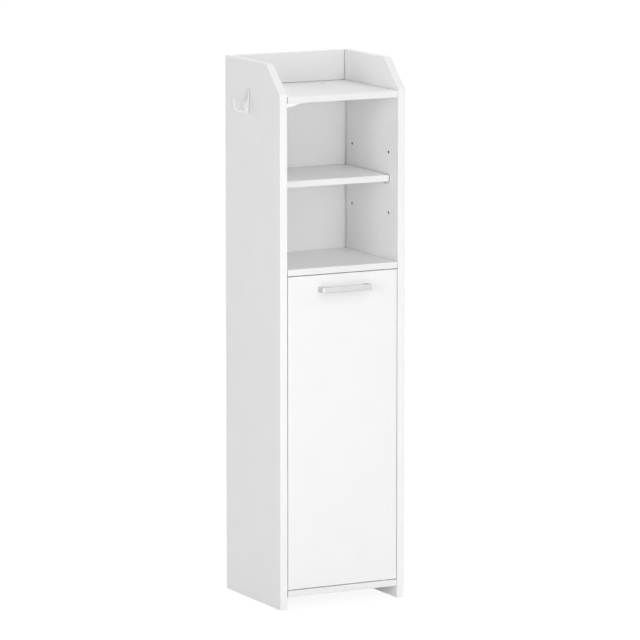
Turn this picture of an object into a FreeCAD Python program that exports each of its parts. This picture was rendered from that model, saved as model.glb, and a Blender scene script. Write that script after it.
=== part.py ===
"""Narrow free-standing bathroom cabinet: open shelves over a cupboard with one hinged door.

Frame: +Z up, the front faces -Y, the origin lies on the floor under the middle of the whole box.
Places are written from the carcass's front bottom left corner and moved into that frame by place().
"""
import FreeCAD, Part
import math
import os
import re
import Sketcher

# Driving sizes in millimetres, one cell of the sheet each
SIZES = {
    # carcass
    "cabinet_width": 257,
    "cabinet_depth": 222,
    "cabinet_height": 1000,
    "side_board": 15,
    "shelf_board": 12,
    "edge_round": 0.8,
    "corner_cut_depth": 56,
    "corner_cut_height": 53,
    # heights: the legs below the base, the gallery above the top shelf, the open compartments under it
    "leg_height": 23,
    "gallery_height": 56,
    "upper_opening": 146,
    "lower_opening": 145,
    # gallery rail and back panel
    "rail_board": 12,
    "rail_end_gap": 1,
    "back_board": 3,
    "back_inset": 13,
    "groove_depth": 5,
    "groove_end_room": 0.5,
    "groove_slack": 2.2,
    # loose shelves and their pins
    "shelf_setback": 32.5,
    "shelf_end_gap": 0.8,
    "shelf_rear_gap": 1,
    "pin_behind_edge": 4.5,
    "column_rear": 41,
    "pin_pitch": 56,
    "pin_diameter": 5,
    "pin_hole_depth": 10,
    "pin_end_room": 1,
    "pin_tongue_length": 8,
    "pin_tongue_width": 7,
    "pin_tongue_drop": 1.5,
    # cam locks, cam bolts and dowels
    "cam_diameter": 10,
    "cam_cover": 2.5,
    "cam_offset": 24,
    "cam_recess_length": 6,
    "cam_recess_width": 1.4,
    "cam_recess_depth": 1.5,
    "bolt_diameter": 5,
    "bolt_thread": 9,
    "bolt_neck_diameter": 2.8,
    "bolt_head_step": 0.2,
    "bolt_head_length": 3,
    "bolt_head_past_centre": 2,
    "dowel_diameter": 6,
    "dowel_in_side": 10,
    "dowel_in_shelf": 15,
    "dowel_chamfer": 0.8,
    # screws
    "screw_diameter": 3,
    "screw_head": 6,
    "screw_length": 11,
    "sunk_floor": 0.5,
    "screw_slot_depth": 0.9,
    "screw_slot_width": 0.8,
    "rail_screw_diameter": 4,
    "rail_screw_head": 8,
    "rail_screw_in_rail": 16,
    "rail_screw_inset": 54,
    "back_screw_inset": 44,
    "hole_end_room": 0.5,
    "fit": 0.05,
    # door, its pivots and its gaps
    "door_board": 15,
    "door_gap": 1.5,
    "pivot_inset": 22,
    "pivot_shank_diameter": 6,
    "pivot_shank": 18,
    "pivot_step": 0.5,
    "pivot_tip_room": 2,
    "bush_wall": 1.45,
    "bush_cover": 3,
    "bush_lip": 1.5,
    # handle
    "handle_centres": 96,
    "handle_bar": 6,
    "handle_height": 10,
    "handle_reach": 21,
    "handle_drop": 26,
    "handle_outer_round": 3,
    "handle_inner_round": 1.5,
    "handle_edge_round": 1.2,
    "handle_screw_diameter": 4,
    "handle_screw_in_foot": 8,
    "handle_screw_head": 8,
    "handle_screw_head_height": 2.4,
    # towel hook
    "hook_behind_middle": 18.5,
    "hook_drop": 99,
    "hook_plate_height": 47,
    "hook_plate_width": 16,
    "hook_end_flat": 1,
    "hook_strip": 4,
    "hook_strip_width": 10.5,
    "hook_reach": 33,
    "hook_root_height": 4,
    "hook_rise": 2,
    "hook_tip_height": 32,
    "hook_outer_round": 16,
    "hook_inner_round": 12,
    "hook_root_round": 4,
    "hook_recess_width": 8,
    "hook_recess_length": 16,
    "hook_recess_height": 33,
    "hook_screw_spacing": 8,
    # corner piece under the top shelf
    "brace_width": 25,
    "brace_flat": 12,
    "brace_thickness": 6,
    "brace_lip": 1.8,
    "brace_length": 20,
    "brace_setback": 1,
    # magnetic catch and strike plate
    "catch_side_room": 11,
    "catch_ear": 9.5,
    "catch_flange": 2.5,
    "catch_body_width": 27,
    "catch_depth": 14,
    "catch_height": 13,
    "catch_clearance": 0.3,
    "magnet_width": 19,
    "magnet_height": 7,
    "magnet_depth": 10,
    "strike_width": 28,
    "strike_height": 12,
    "strike_drop": 1.5,
    "strike_screw_inset": 6,
}

# Places worked out from the sizes, from the front bottom left corner of the carcass
INNER_WIDTH = "(cabinet_width - 2 * side_board)"
RIGHT_INNER = "(cabinet_width - side_board)"
BACK_FACE = "(cabinet_depth - back_inset - back_board)"
FRONT_COLUMN = "(shelf_setback + pin_behind_edge)"
REAR_COLUMN = "(cabinet_depth - column_rear)"
MIDDLE_COLUMN = f"(({FRONT_COLUMN} + {REAR_COLUMN}) / 2)"
COLUMNS = (FRONT_COLUMN, REAR_COLUMN)
TOP_SHELF_HEIGHT = "(cabinet_height - gallery_height - shelf_board)"
MIDDLE_SHELF_HEIGHT = f"({TOP_SHELF_HEIGHT} - upper_opening - shelf_board)"
FIXED_SHELF_HEIGHT = f"({MIDDLE_SHELF_HEIGHT} - lower_opening - shelf_board)"
BASE_TOP = "(leg_height + shelf_board)"
INNER_SHELF_HEIGHT = f"(({BASE_TOP} + {FIXED_SHELF_HEIGHT} - shelf_board) / 2)"
RAIL_MIDDLE = "(cabinet_depth - rail_board / 2)"
RAIL_DOWEL_HEIGHT = "(cabinet_height - gallery_height / 2)"
DOOR_LEFT = "(side_board + door_gap)"
DOOR_WIDTH = f"({INNER_WIDTH} - 2 * door_gap)"
DOOR_BOTTOM = f"({BASE_TOP} + door_gap)"
DOOR_TOP = f"({FIXED_SHELF_HEIGHT} - door_gap)"
DOOR_HEIGHT = f"({DOOR_TOP} - {DOOR_BOTTOM})"
PIVOT_X = f"({RIGHT_INNER} - door_gap - pivot_inset)"
PIVOT_Y = "(door_board / 2)"
HANDLE_Z = f"({DOOR_TOP} - handle_drop)"
HOOK_Y = f"({MIDDLE_COLUMN} + hook_behind_middle)"
HOOK_HEIGHT = "(cabinet_height - hook_drop)"

# Sizes worked out from the pieces that they fit
PIN_SHANK = "(pin_hole_depth - pin_end_room)"
CAM_HEIGHT = "(shelf_board - cam_cover)"
BOLT_HEAD = "(bolt_diameter - bolt_head_step)"
SCREW_CONE = "((screw_head - screw_diameter) / 2)"
PIVOT_TIP_DIAMETER = "(pivot_shank_diameter - 2 * pivot_step)"
BUSH_DIAMETER = f"({PIVOT_TIP_DIAMETER} + 2 * fit + 2 * bush_wall)"
BUSH_RIM = f"({BUSH_DIAMETER} / 2 + bush_lip)"
BUSH_LENGTH = "(shelf_board - bush_cover)"
BUSH_FLANGE = "(door_gap / 2)"
PIVOT_TIP_END = f"(door_gap + {BUSH_LENGTH} - pivot_tip_room)"
HOOK_RECESS = f"(hook_strip - {SCREW_CONE} - sunk_floor)"
HOOK_SCREW_DEPTH = f"(screw_length - hook_strip + {HOOK_RECESS} + hole_end_room)"
STRIKE_THICKNESS = f"({SCREW_CONE} + sunk_floor)"
STRIKE_BOTTOM = f"({DOOR_TOP} - strike_drop - strike_height)"
CATCH_WIDTH = "(catch_body_width + 2 * catch_ear)"
CATCH_SCREW_REACH = "(catch_body_width / 2 + catch_ear / 2)"
CATCH_X = f"({DOOR_LEFT} + catch_side_room + {CATCH_WIDTH} / 2)"
CATCH_Y = f"(door_board + {STRIKE_THICKNESS} + catch_clearance)"
PIN_HOLE = "(pin_diameter + 2 * fit)"
BOLT_HOLE = "(bolt_diameter + 2 * fit)"
DOWEL_HOLE = "(dowel_diameter + 2 * fit)"
CAM_HOLE = "(cam_diameter + 2 * fit)"
SCREW_HOLE = "(screw_diameter + 2 * fit)"
RAIL_SCREW_HOLE = "(rail_screw_diameter + 2 * fit)"
BUSH_HOLE = f"({BUSH_DIAMETER} + 2 * fit)"
PIVOT_HOLE = "(pivot_shank_diameter + 2 * fit)"
HANDLE_SCREW_HOLE = "(handle_screw_diameter + 2 * fit)"
FIXED_BOARDS = ("leg_height", FIXED_SHELF_HEIGHT, TOP_SHELF_HEIGHT)
SCREWED_BOARDS = ("leg_height", FIXED_SHELF_HEIGHT)
PIN_ROWS = [
    f"({shelf} - pin_diameter / 2 {step})"
    for shelf in (INNER_SHELF_HEIGHT, MIDDLE_SHELF_HEIGHT)
    for step in ("- pin_pitch", "", "+ pin_pitch")
]
BRACE_SCREW_SHARES = (0.3, 0.7)

UNIT = 1.0      # unit shapes that the bound sizes then stretch
TOUCH = 1e-6    # two lengths this close are the same
FULL_TURN = 360
COUNTERSINK = 90
CORNER_SIGNS = ("--", "+-", "++", "-+")

doc = FreeCAD.newDocument("narrow_bathroom_cabinet")
sheet = doc.addObject("Spreadsheet::Sheet", "Sizes")
for row, (alias, size) in enumerate(SIZES.items(), 1):
    sheet.set(f"A{row}", alias)
    sheet.set(f"B{row}", str(size))
    sheet.setAlias(f"B{row}", alias)
doc.recompute()

pieces = []


def sized(text):
    """The expression with its words read from the sheet."""
    return re.sub(r"[a-z]\w*", lambda word: f"Sizes.{word.group()}", text)


def bind(target, name, text):
    """Tie a property or constraint to an expression in the sheet's sizes."""
    target.setExpression(name, sized(text))


def value(text):
    """The number that an expression gives at present."""
    return float(sheet.evalExpression(sized(text)))


def place(target, x, y, z, rotation=FreeCAD.Rotation()):
    """Put a piece at a place measured from the carcass's front bottom left corner."""
    target.Placement = FreeCAD.Placement(FreeCAD.Vector(), rotation)
    bind(target, "Placement.Base.x", f"(hook_reach - cabinet_width) / 2 + {x}")
    bind(target, "Placement.Base.y", f"(handle_reach - cabinet_depth) / 2 + {y}")
    bind(target, "Placement.Base.z", z)


def new_body(label, handed_in=True):
    """An empty body; the pieces handed in are written to files at the end."""
    body = doc.addObject("PartDesign::Body", label)
    body.Label = label
    if handed_in:
        pieces.append(body)
    return body


def sketch_at(body, plane, start):
    """A sketch parallel to an origin plane, at a place along that plane's world axis."""
    support = next(item for item in body.Origin.OriginFeatures if item.Role == plane)
    sketch = body.newObject("Sketcher::SketchObject", f"{body.Label}_sketch")
    sketch.AttachmentSupport = [(support, "")]
    sketch.MapMode = "FlatFace"
    away = plane == "XZ_Plane"
    bind(sketch, "AttachmentOffset.Base.z", f"-({start})" if away else start)
    return sketch


def hold(sketch, geometry, point, x, y):
    """Hold a point of the sketch at a place given by two expressions."""
    for kind, text in (("DistanceX", x), ("DistanceY", y)):
        number = sketch.addConstraint(Sketcher.Constraint(kind, -1, 1, geometry, point, UNIT))
        bind(sketch, f"Constraints[{number}]", text)


def draw_outline(sketch, corners):
    """A closed outline of straight lines through the corners."""
    angles = [2 * math.pi * index / len(corners) for index in range(len(corners))]
    guess = [FreeCAD.Vector(math.cos(angle), math.sin(angle), 0) for angle in angles]
    lines = [
        sketch.addGeometry(Part.LineSegment(start, end))
        for start, end in zip(guess, guess[1:] + guess[:1])
    ]
    for line, following, corner in zip(lines, lines[1:] + lines[:1], corners):
        sketch.addConstraint(Sketcher.Constraint("Coincident", line, 2, following, 1))
        hold(sketch, line, 1, *corner)


def draw_rectangle(sketch, left, low, right, high):
    draw_outline(sketch, [(left, low), (right, low), (right, high), (left, high)])


def draw_circle(sketch, x, y, diameter):
    shape = Part.Circle(FreeCAD.Vector(), FreeCAD.Vector(0, 0, 1), UNIT)
    circle = sketch.addGeometry(shape)
    hold(sketch, circle, 3, x, y)
    number = sketch.addConstraint(Sketcher.Constraint("Diameter", circle, UNIT))
    bind(sketch, f"Constraints[{number}]", diameter)


def pad(sketch, plane, length):
    """Grow the sketch's outline along the plane's world axis."""
    feature = sketch.getParentGeoFeatureGroup().newObject("PartDesign::Pad", "Pad")
    feature.Profile = sketch
    feature.Reversed = plane == "XZ_Plane"
    bind(feature, "Length", length)
    return feature


def pocket(sketch, plane, length):
    """Cut the sketch's outline along the plane's world axis."""
    feature = sketch.getParentGeoFeatureGroup().newObject("PartDesign::Pocket", "Pocket")
    feature.Profile = sketch
    feature.Reversed = plane != "XZ_Plane"
    bind(feature, "Length", length)
    return feature


def prism(body, plane, corners, start, length):
    """A solid with a straight-lined outline."""
    sketch = sketch_at(body, plane, start)
    draw_outline(sketch, corners)
    return pad(sketch, plane, length)


def bores(body, plane, centres, diameter, start, length):
    """Round holes of one size, cut from a place along the plane's world axis."""
    sketch = sketch_at(body, plane, start)
    for x, y in centres:
        draw_circle(sketch, x, y, diameter)
    return pocket(sketch, plane, length)


def slot(body, plane, corners, start, length):
    """A cut with a straight-lined outline."""
    sketch = sketch_at(body, plane, start)
    draw_outline(sketch, corners)
    return pocket(sketch, plane, length)


def sunk_bores(body, plane, centres, start, inward, length, diameter="screw_diameter", head="screw_head"):
    """Countersunk screw holes; inward is the direction along the world axis, 1 or -1."""
    sketch = sketch_at(body, plane, start)
    for x, y in centres:
        draw_circle(sketch, x, y, diameter)
    doc.recompute()
    feature = body.newObject("PartDesign::Hole", "Hole")
    feature.Profile = sketch
    feature.Reversed = (inward > 0) != (plane == "XZ_Plane")
    feature.DepthType = "Dimension"
    feature.DrillPoint = "Flat"
    feature.HoleCutType = "Countersink"
    feature.HoleCutCountersinkAngle = COUNTERSINK
    bind(feature, "Diameter", f"{diameter} + 2 * fit")
    bind(feature, "HoleCutDiameter", f"{head} + 2 * fit")
    bind(feature, "Depth", length)
    return feature


def turned(body, profile):
    """A solid turned about its own upright axis; the profile's points are radius and height."""
    sketch = sketch_at(body, "XZ_Plane", "0")
    draw_outline(sketch, profile)
    feature = body.newObject("PartDesign::Revolution", "Turned")
    feature.Profile = sketch
    feature.ReferenceAxis = (sketch, ["V_Axis"])
    feature.Angle = FULL_TURN
    return feature


def cross_recess(body, length, width, start, depth):
    """A screwdriver's cross, cut about the upright axis."""
    for along, across in ((length, width), (width, length)):
        corners = [(f"{a}({along}) / 2", f"{b}({across}) / 2") for a, b in CORNER_SIGNS]
        slot(body, "XY_Plane", corners, start, depth)


def edges_of(feature, keep):
    """Names of the feature's edges whose middle point passes the test."""
    doc.recompute()
    shape = feature.Shape
    return [
        f"Edge{number}" for number, edge in enumerate(shape.Edges, 1)
        if keep(edge.BoundBox.Center, edge.BoundBox, shape.BoundBox)
    ]


def rounded(feature, radius, keep):
    """Round the feature's chosen edges."""
    names = edges_of(feature, keep)
    body = feature.getParentGeoFeatureGroup()
    result = body.newObject("PartDesign::Fillet", "Rounding")
    result.Base = (feature, names)
    bind(result, "Radius", radius)
    return result


def every_edge(middle, edge, whole):
    return True


def board(label, plane, corners, thickness):
    """A panel with slightly rounded edges all round."""
    body = new_body(label)
    rounded(prism(body, plane, corners, "0", thickness), "edge_round", every_edge)
    return body


def box_corners(width, height):
    return [("0", "0"), (width, "0"), (width, height), ("0", height)]


def middle_corners(width, height):
    """A rectangle that stands on the middle of its lower edge."""
    half = f"({width} / 2)"
    return [(f"-{half}", "0"), (half, "0"), (half, height), (f"-{half}", height)]


def group(label, master, places):
    """Identical pieces of one kind, each a separate solid."""
    links = []
    for x, y, z, rotation in places:
        link = doc.addObject("App::Link", f"{label}_piece")
        link.LinkedObject = master
        place(link, x, y, z, rotation)
        links.append(link)
    result = doc.addObject("Part::Compound", label)
    result.Label = label
    result.Links = links
    pieces.append(result)


def turn(axis, degrees):
    return FreeCAD.Rotation(FreeCAD.Vector(*axis), degrees)


UPRIGHT = FreeCAD.Rotation()
TO_RIGHT = turn((0, 1, 0), 90)      # a turned piece's axis points along +X
TO_LEFT = turn((0, 1, 0), -90)
TO_REAR = turn((1, 0, 0), -90)      # along +Y
UPSIDE_DOWN = turn((1, 0, 0), 180)
ABOUT_FACE = turn((0, 0, 1), 180)


def side_panel(label, inner_is_right):
    """One side, with its holes for pins, bolts and dowels and the groove for the back panel."""
    corners = [
        ("0", "0"), ("cabinet_depth", "0"), ("cabinet_depth", "cabinet_height"),
        ("corner_cut_depth", "cabinet_height"), ("0", "cabinet_height - corner_cut_height"),
    ]
    body = board(label, "YZ_Plane", corners, "side_board")

    def from_inner(depth):
        return f"side_board - ({depth})" if inner_is_right else "0"

    pins = [(y, z) for y in COLUMNS for z in PIN_ROWS]
    bores(body, "YZ_Plane", pins, PIN_HOLE, from_inner("pin_hole_depth"), "pin_hole_depth")
    bolts = [(y, f"{z} + shelf_board / 2") for y in COLUMNS for z in FIXED_BOARDS]
    bolt_depth = "bolt_thread + hole_end_room"
    bores(body, "YZ_Plane", bolts, BOLT_HOLE, from_inner(bolt_depth), bolt_depth)
    dowels = [(MIDDLE_COLUMN, f"{z} + shelf_board / 2") for z in FIXED_BOARDS]
    dowels.append((RAIL_MIDDLE, RAIL_DOWEL_HEIGHT))
    dowel_depth = "dowel_in_side + hole_end_room"
    bores(body, "YZ_Plane", dowels, DOWEL_HOLE, from_inner(dowel_depth), dowel_depth)
    groove = sketch_at(body, "YZ_Plane", from_inner("groove_depth"))
    draw_rectangle(
        groove, f"{BACK_FACE} - groove_slack", "leg_height - groove_end_room",
        f"{BACK_FACE} + back_board", f"{TOP_SHELF_HEIGHT} + groove_end_room")
    pocket(groove, "YZ_Plane", "groove_depth")
    return body


def fixed_board(label, depth):
    """A shelf held by cam locks, bolts and dowels; its underside is its local floor."""
    body = board(label, "XY_Plane", box_corners(INNER_WIDTH, depth), "shelf_board")
    cams = [(x, y) for x in ("cam_offset", f"{INNER_WIDTH} - cam_offset") for y in COLUMNS]
    bores(body, "XY_Plane", cams, CAM_HOLE, "0", CAM_HEIGHT)
    bolts = [(y, "shelf_board / 2") for y in COLUMNS]
    dowels = [(MIDDLE_COLUMN, "shelf_board / 2")]
    dowel_depth = "dowel_in_shelf + hole_end_room"
    for centres, diameter, depth_in in (
            (bolts, BOLT_HOLE, "cam_offset"), (dowels, DOWEL_HOLE, dowel_depth)):
        bores(body, "YZ_Plane", centres, diameter, "0", depth_in)
        bores(body, "YZ_Plane", centres, diameter, f"{INNER_WIDTH} - ({depth_in})", depth_in)
    return body


def loose_shelf(label, height):
    """A shelf that lies on four pins."""
    depth = f"{BACK_FACE} - shelf_setback - shelf_rear_gap"
    width = f"{INNER_WIDTH} - 2 * shelf_end_gap"
    body = board(label, "XY_Plane", box_corners(width, depth), "shelf_board")
    place(body, "side_board + shelf_end_gap", "shelf_setback", height)


def countersunk_screw(label, diameter, head, length):
    """A wood screw, its head's face at the local floor and its point downwards."""
    body = new_body(label, handed_in=False)
    cone = f"({head} - {diameter}) / 2"
    turned(body, [
        ("0", "0"), ("0", f"-({length})"), (f"{diameter} / 2", f"-({length}) + {diameter} / 2"),
        (f"{diameter} / 2", f"-({cone})"), (f"{head} / 2", "0"),
    ])
    cross_recess(body, diameter, "screw_slot_width", "-screw_slot_depth", "screw_slot_depth")
    return body


# Sides
left_side = side_panel("left_side_panel", True)
hook_screws = [
    (HOOK_Y, f"{HOOK_HEIGHT} + hook_recess_height {step} hook_screw_spacing / 2") for step in "-+"
]
bores(left_side, "YZ_Plane", hook_screws, SCREW_HOLE, "0", HOOK_SCREW_DEPTH)
place(left_side, "0", "0", "0")
right_side = side_panel("right_side_panel", False)
place(right_side, RIGHT_INNER, "0", "0")

# Top shelf, with holes below it for the rail's screws and the corner piece's screws
top_shelf = fixed_board("top_shelf", "cabinet_depth")
rail_screws = [(x, RAIL_MIDDLE) for x in ("rail_screw_inset", f"{INNER_WIDTH} - rail_screw_inset")]
sunk_bores(
    top_shelf, "XY_Plane", rail_screws, "0", 1, "shelf_board", "rail_screw_diameter", "rail_screw_head")
brace_holes = [("brace_flat / 2", f"brace_length * {share}") for share in BRACE_SCREW_SHARES]
brace_screws = [(x, f"brace_setback + {y}") for x, y in brace_holes]
bores(
    top_shelf, "XY_Plane", brace_screws, SCREW_HOLE, "0",
    "screw_length - brace_thickness + hole_end_room")
place(top_shelf, "side_board", "0", TOP_SHELF_HEIGHT)

# Fixed shelf over the door and base under it, with the pivots' bushes and the back panel's screws
back_screws = [(x, "shelf_board / 2") for x in ("back_screw_inset", f"{INNER_WIDTH} - back_screw_inset")]
back_screw_depth = "screw_length - back_board + hole_end_room"
bush_depth = f"{BUSH_LENGTH} + hole_end_room"
bush_centre = (f"{PIVOT_X} - side_board", PIVOT_Y)
catch_screws = [
    (f"{CATCH_X} - side_board {step} {CATCH_SCREW_REACH}", f"{CATCH_Y} + catch_depth / 2")
    for step in "-+"
]
fixed_shelf = fixed_board("fixed_shelf", BACK_FACE)
bores(fixed_shelf, "XY_Plane", [bush_centre], BUSH_HOLE, "0", bush_depth)
bores(
    fixed_shelf, "XY_Plane", catch_screws, SCREW_HOLE, "0",
    "screw_length - catch_flange + hole_end_room")
place(fixed_shelf, "side_board", "0", FIXED_SHELF_HEIGHT)
base_panel = fixed_board("base_panel", BACK_FACE)
bores(base_panel, "XY_Plane", [bush_centre], BUSH_HOLE, f"shelf_board - ({bush_depth})", bush_depth)
place(base_panel, "side_board", "0", "leg_height")
for shelf in (fixed_shelf, base_panel):
    bores(
        shelf, "XZ_Plane", back_screws, SCREW_HOLE,
        f"{BACK_FACE} - ({back_screw_depth})", back_screw_depth)

# Loose shelves
loose_shelves = {"middle_shelf": MIDDLE_SHELF_HEIGHT, "inner_shelf": INNER_SHELF_HEIGHT}
for label, height in loose_shelves.items():
    loose_shelf(label, height)

# Gallery rail on the top shelf
rail_width = f"({INNER_WIDTH} - 2 * rail_end_gap)"
rail = board("gallery_rail", "XZ_Plane", box_corners(rail_width, "gallery_height"), "rail_board")
rail_dowel = [("rail_board / 2", "gallery_height / 2")]
rail_dowel_depth = "dowel_in_shelf - rail_end_gap + hole_end_room"
bores(rail, "YZ_Plane", rail_dowel, DOWEL_HOLE, "0", rail_dowel_depth)
bores(
    rail, "YZ_Plane", rail_dowel, DOWEL_HOLE, f"{rail_width} - ({rail_dowel_depth})", rail_dowel_depth)
rail_holes = [(f"{x} - rail_end_gap", "rail_board / 2") for x, y in rail_screws]
bores(rail, "XY_Plane", rail_holes, RAIL_SCREW_HOLE, "0", "rail_screw_in_rail + hole_end_room")
place(rail, "side_board + rail_end_gap", "cabinet_depth - rail_board", "cabinet_height - gallery_height")

# Back panel in the sides' grooves, screwed to the rear edges of the fixed shelf and the base
back_tongue = "(groove_depth - groove_end_room)"
back_width = f"{INNER_WIDTH} + 2 * {back_tongue}"
back_height = f"{TOP_SHELF_HEIGHT} - leg_height"
back = new_body("back_panel")
prism(back, "XZ_Plane", box_corners(back_width, back_height), "0", "back_board")
back_holes = [
    (f"{x} + {back_tongue}", f"{z} + {up} - leg_height")
    for x, up in back_screws for z in SCREWED_BOARDS
]
sunk_bores(back, "XZ_Plane", back_holes, "back_board", -1, "back_board")
place(back, f"side_board - {back_tongue}", BACK_FACE, "leg_height")

# Shelf pins: a round shank in the side and a flat tongue under the shelf
pin = new_body("shelf_pin", handed_in=False)
shank = sketch_at(pin, "YZ_Plane", f"-{PIN_SHANK}")
draw_circle(shank, "0", "0", "pin_diameter")
pad(shank, "YZ_Plane", PIN_SHANK)
tongue = sketch_at(pin, "YZ_Plane", "0")
draw_rectangle(
    tongue, "-pin_tongue_width / 2", "-pin_tongue_drop", "pin_tongue_width / 2", "pin_diameter / 2")
pad(tongue, "YZ_Plane", "pin_tongue_length")
for label, height in loose_shelves.items():
    group(f"{label}_pins", pin, [
        (x, y, f"{height} - pin_diameter / 2", rotation)
        for x, rotation in (("side_board", UPRIGHT), (RIGHT_INNER, ABOUT_FACE)) for y in COLUMNS
    ])

# Cam locks, seen from below as a disc with a cross, and open to the bolt on one side
cam = new_body("cam_lock", handed_in=False)
disc = sketch_at(cam, "XY_Plane", "0")
draw_circle(disc, "0", "0", "cam_diameter")
pad(disc, "XY_Plane", CAM_HEIGHT)
bolt_end = "(bolt_head_past_centre + hole_end_room)"
bores(
    cam, "YZ_Plane", [("0", "shelf_board / 2")], BOLT_HOLE,
    "-cam_diameter", f"cam_diameter + {bolt_end}")
cross_recess(cam, "cam_recess_length", "cam_recess_width", "0", "cam_recess_depth")
group("cam_locks", cam, [
    (x, y, z, rotation)
    for x, rotation in (
        ("side_board + cam_offset", UPRIGHT), (f"{RIGHT_INNER} - cam_offset", ABOUT_FACE))
    for y in COLUMNS for z in FIXED_BOARDS
])

# Cam bolts: thread in the side, shank in the shelf, neck and head in the cam lock
bolt = new_body("cam_bolt", handed_in=False)
bolt_top = "(cam_offset + bolt_head_past_centre)"
neck_start = "(cam_offset - cam_diameter / 2)"
turned(bolt, [
    ("0", "-bolt_thread"), ("bolt_diameter / 2", "-bolt_thread"), ("bolt_diameter / 2", neck_start),
    ("bolt_neck_diameter / 2", neck_start), ("bolt_neck_diameter / 2", f"{bolt_top} - bolt_head_length"),
    (f"{BOLT_HEAD} / 2", f"{bolt_top} - bolt_head_length"), (f"{BOLT_HEAD} / 2", bolt_top),
    ("0", bolt_top),
])
ends = (("side_board", TO_RIGHT), (RIGHT_INNER, TO_LEFT))
group("cam_bolts", bolt, [
    (x, y, f"{z} + shelf_board / 2", rotation)
    for x, rotation in ends for y in COLUMNS for z in FIXED_BOARDS
])

# Wooden dowels between the sides and the fixed boards, and between the sides and the rail
dowel = new_body("wood_dowel", handed_in=False)
dowel_radius = "dowel_diameter / 2"
turned(dowel, [
    ("0", "-dowel_in_side"), (f"{dowel_radius} - dowel_chamfer", "-dowel_in_side"),
    (dowel_radius, "-dowel_in_side + dowel_chamfer"), (dowel_radius, "dowel_in_shelf - dowel_chamfer"),
    (f"{dowel_radius} - dowel_chamfer", "dowel_in_shelf"), ("0", "dowel_in_shelf"),
])
dowel_places = [(MIDDLE_COLUMN, f"{z} + shelf_board / 2") for z in FIXED_BOARDS]
dowel_places.append((RAIL_MIDDLE, RAIL_DOWEL_HEIGHT))
group("wood_dowels", dowel, [(x, y, z, rotation) for x, rotation in ends for y, z in dowel_places])

# Screws of the carcass
screw = countersunk_screw("small_screw", "screw_diameter", "screw_head", "screw_length")
rail_screw = countersunk_screw(
    "rail_screw", "rail_screw_diameter", "rail_screw_head", "(shelf_board + rail_screw_in_rail)")
group("rail_screws", rail_screw, [
    (f"side_board + {x}", y, TOP_SHELF_HEIGHT, UPSIDE_DOWN) for x, y in rail_screws
])
group("back_panel_screws", screw, [
    (f"side_board + {x}", f"{BACK_FACE} + back_board", f"{z} + {up}", TO_REAR)
    for x, up in back_screws for z in SCREWED_BOARDS
])


def along_x(middle, edge, whole):
    return edge.XLength > TOUCH


def at_corner(x, z):
    """Test for the edge along Y through a corner of an outline."""
    def keep(middle, edge, whole):
        close = abs(middle.x - x) < TOUCH and abs(middle.z - z) < TOUCH
        return close and edge.YLength > TOUCH
    return keep


def throat_corner(middle, edge, whole):
    on_plate = edge.YLength > TOUCH and abs(middle.x + strip) < TOUCH
    return on_plate and root + strip / 2 < middle.z < root + 2 * strip


def recess_corner(middle, edge, whole):
    return abs(edge.XLength - value(HOOK_RECESS)) < TOUCH


# Towel hook: a flat plate with rounded ends, and a strip that runs out of its foot and turns up
hook = new_body("towel_hook")
plate = prism(
    hook, "YZ_Plane", middle_corners("hook_plate_width", "hook_plate_height"), "-hook_strip", "hook_strip")
rounded(plate, "(hook_plate_width - hook_end_flat) / 2", along_x)
arm_inner = "(hook_reach - hook_strip)"
arm_end = "(hook_root_height + hook_rise)"
arm = prism(hook, "XZ_Plane", [
    ("-hook_strip / 2", "hook_root_height"), ("-hook_reach", arm_end), ("-hook_reach", "hook_tip_height"),
    (f"-{arm_inner}", "hook_tip_height"), (f"-{arm_inner}", f"{arm_end} + hook_strip"),
    ("-hook_strip / 2", "hook_root_height + hook_strip"),
], "-hook_strip_width / 2", "hook_strip_width")
reach, rise, strip, root = map(value, ("hook_reach", "hook_rise", "hook_strip", "hook_root_height"))
arm = rounded(arm, "hook_outer_round", at_corner(-reach, root + rise))
arm = rounded(arm, "hook_inner_round", at_corner(strip - reach, root + rise + strip))
rounded(arm, "hook_root_round", throat_corner)
recess = slot(hook, "YZ_Plane", [
    (f"{a}hook_recess_width / 2", f"hook_recess_height {b} hook_recess_length / 2")
    for a, b in CORNER_SIGNS
], "-hook_strip", HOOK_RECESS)
rounded(recess, "(hook_recess_width - hook_end_flat) / 2", recess_corner)
sunk_bores(
    hook, "YZ_Plane", [("0", f"hook_recess_height {step} hook_screw_spacing / 2") for step in "-+"],
    f"{HOOK_RECESS} - hook_strip", 1, f"hook_strip - {HOOK_RECESS}")
place(hook, "0", HOOK_Y, HOOK_HEIGHT)
group("hook_screws", screw, [(f"{HOOK_RECESS} - hook_strip", y, z, TO_LEFT) for y, z in hook_screws])

# Corner piece under the top shelf
brace = new_body("corner_brace")
prism(brace, "XZ_Plane", [
    ("0", "0"), ("0", "-brace_thickness"), ("brace_flat", "-brace_thickness"),
    ("brace_width", "-brace_lip"), ("brace_width", "0"),
], "0", "brace_length")
sunk_bores(brace, "XY_Plane", brace_holes, "-brace_thickness", 1, "brace_thickness")
place(brace, "side_board", "brace_setback", TOP_SHELF_HEIGHT)
group("brace_screws", screw, [
    (f"side_board + {x}", y, f"{TOP_SHELF_HEIGHT} - brace_thickness", UPSIDE_DOWN) for x, y in brace_screws
])

# Magnetic catch under the fixed shelf, its magnet let in from the front
catch = new_body("catch_housing")
for width, height in ((CATCH_WIDTH, "catch_flange"), ("catch_body_width", "catch_height")):
    prism(catch, "XY_Plane", middle_corners(width, "catch_depth"), f"-{height}", height)
magnet_z = "(-(catch_flange + catch_height) / 2)"


def magnet_corners(room):
    """The magnet's front outline, widened by the room round it."""
    half_width = f"(magnet_width / 2 + {room})"
    half_height = f"(magnet_height / 2 + {room})"
    return [(f"{a}{half_width}", f"{magnet_z} {b} {half_height}") for a, b in CORNER_SIGNS]


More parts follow.
